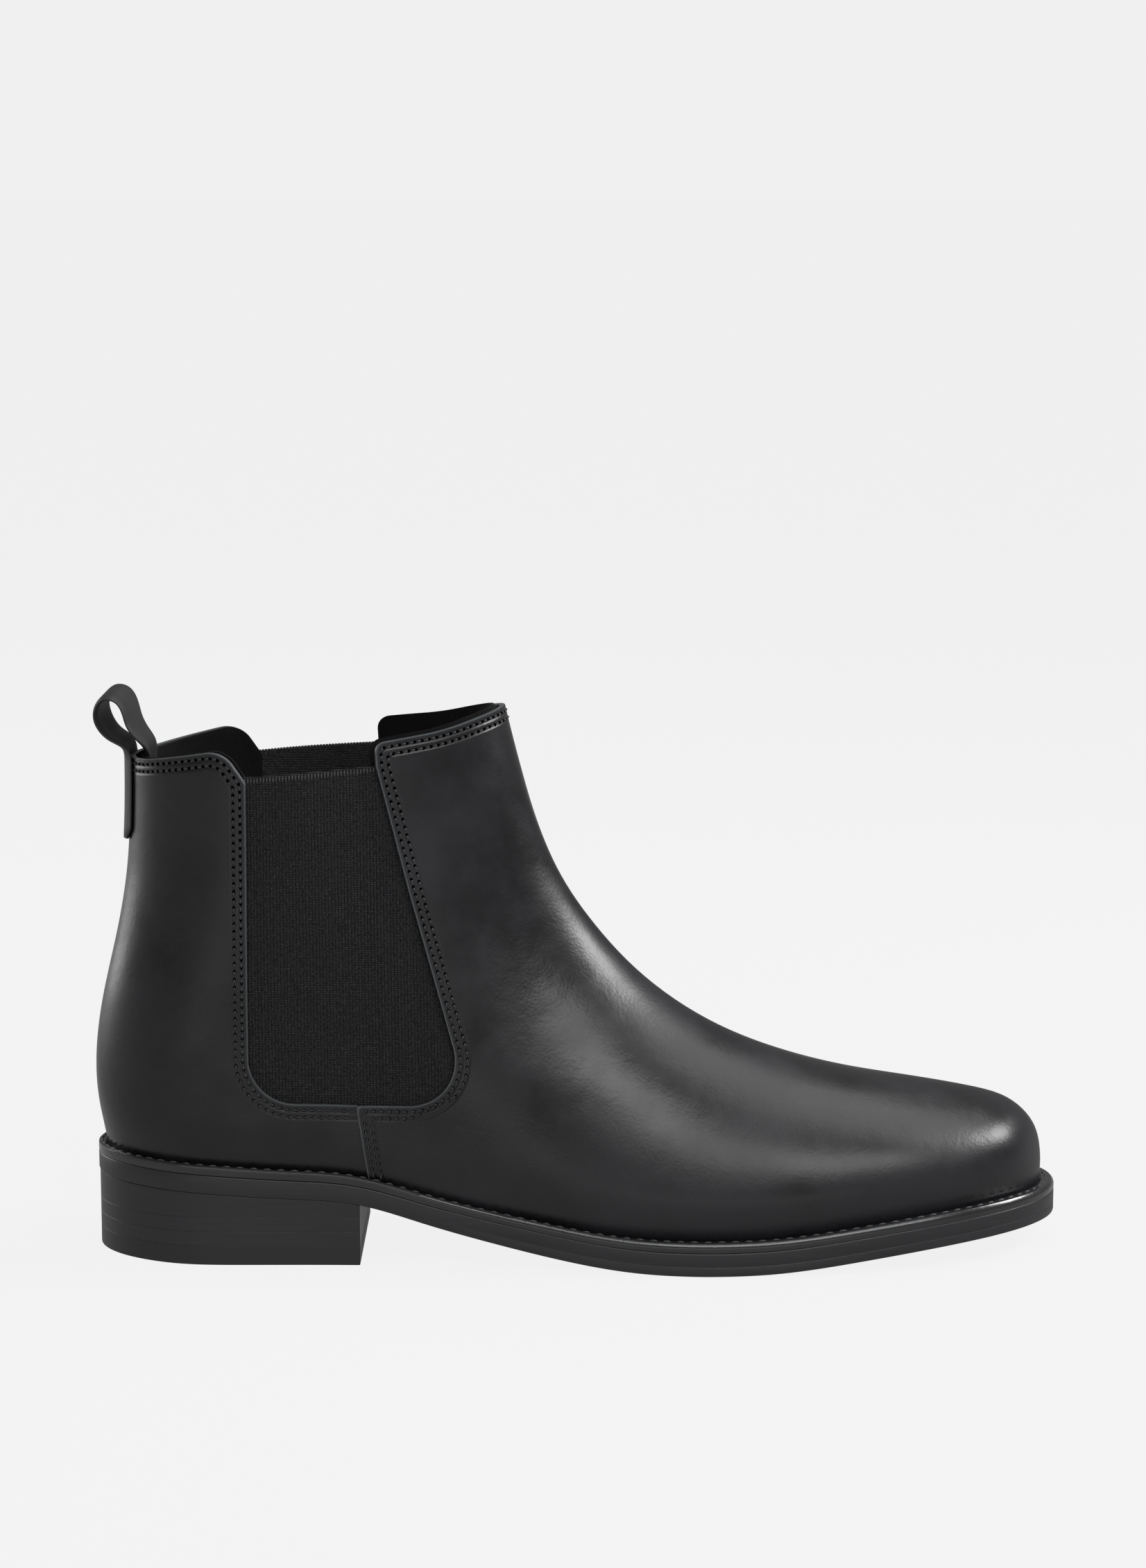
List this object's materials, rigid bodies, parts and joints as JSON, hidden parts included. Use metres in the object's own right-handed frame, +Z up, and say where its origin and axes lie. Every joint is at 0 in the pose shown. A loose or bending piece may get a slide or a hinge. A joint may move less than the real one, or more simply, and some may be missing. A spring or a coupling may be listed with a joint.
{
  "type": "chelsea boot",
  "caption": "Ankle-high pull-on boot with elastic side panels, a welted sole, a stacked low heel and a pull loop at the back of the collar.",
  "frame": {"origin": "on the floor, under the centre of the boot's overall box", "axes": "+X towards the toe, +Y towards the inner (big toe) side of this right boot, +Z up; the heel and the ball of the sole stand on z = 0"},
  "size_m": [0.3032, 0.1018, 0.1753],
  "materials": {
    "outsole_leather": "satin black edge, finished with edge ink and wax",
    "welt": "polished black, rounded edge",
    "insole_board": "plain tan board",
    "rib_canvas": "undyed canvas",
    "sock_leather": "smooth black lining leather",
    "heel_pad_foam": "soft foam faced with black lining leather",
    "cork": "granular cork filler",
    "shank_steel": "plain spring steel",
    "nail_steel": "plain steel",
    "top_lift_rubber": "matt black rubber",
    "heel_stack_leather": "satin black edge, finished with edge ink and wax",
    "upper_leather": "polished smooth black calf",
    "lining_leather": "smooth brownish black lining leather",
    "lining_suede": "black suede-faced lining with a short nap",
    "gore_elastic": "black ribbed woven elastic",
    "stiffener": "moulded fibre board",
    "strap_leather": "black leather strap, slightly greyed"
  },
  "bodies": {
    "root": {"outsole_rear": "outsole_leather", "welt_rear": "welt", "insole_board_rear": "insole_board", "sock_liner_rear": "sock_leather", "heel_pad": "heel_pad_foam", "insole_rib_rear": "rib_canvas", "cork_filler_rear": "cork", "steel_shank": "shank_steel", "shank_rivets": "nail_steel", "top_lift": "top_lift_rubber", "heel_lift_lower": "heel_stack_leather", "heel_lift_upper": "heel_stack_leather", "heel_lift_wedge": "heel_stack_leather", "heel_nails": "nail_steel", "vamp_shaft": "upper_leather", "back_quarter_lower": "upper_leather", "front_lining_shaft": "lining_leather", "quarter_lining_lower": "lining_suede", "heel_counter": "stiffener", "vamp_flex_zone": "upper_leather", "front_lining_flex_zone": "lining_leather", "gore_outer": "gore_elastic", "gore_inner": "gore_elastic"},
    "forefoot": {"outsole_forepart": "outsole_leather", "welt_forepart": "welt", "insole_board_forepart": "insole_board", "sock_liner_forepart": "sock_leather", "insole_rib_forepart": "rib_canvas", "cork_filler_forepart": "cork", "vamp_toe": "upper_leather", "front_lining_toe": "lining_leather", "toe_puff": "stiffener"},
    "back_collar": {"back_quarter_upper": "upper_leather", "quarter_lining_upper": "lining_suede", "pull_tab_outer_leg": "strap_leather", "pull_tab_inner_leg": "strap_leather"},
    "pull_loop": {"pull_loop": "strap_leather"}
  },
  "joints": [
    {"name": "toe_flex", "type": "hinge", "parent": "root", "child": "forefoot", "pos_m": [0.04489, 0, 0.00745], "axis": [0, -1, 0], "range_deg": [0, 25], "stiffness_Nm_per_rad": 6, "deforming": ["vamp_flex_zone", "front_lining_flex_zone"]},
    {"name": "collar_spread", "type": "hinge", "parent": "root", "child": "back_collar", "pos_m": [-0.15109, 0, 0.076], "axis": [0, -1, 0], "range_deg": [0, 8], "stiffness_Nm_per_rad": 2, "deforming": ["gore_outer", "gore_inner"]},
    {"name": "pull_loop_swing", "type": "hinge", "parent": "back_collar", "child": "pull_loop", "pos_m": [-0.13711, -0.00195, 0.156], "axis": [0, 1, 0], "range_deg": [-40, 30], "stiffness_Nm_per_rad": 0.02}
  ]
}
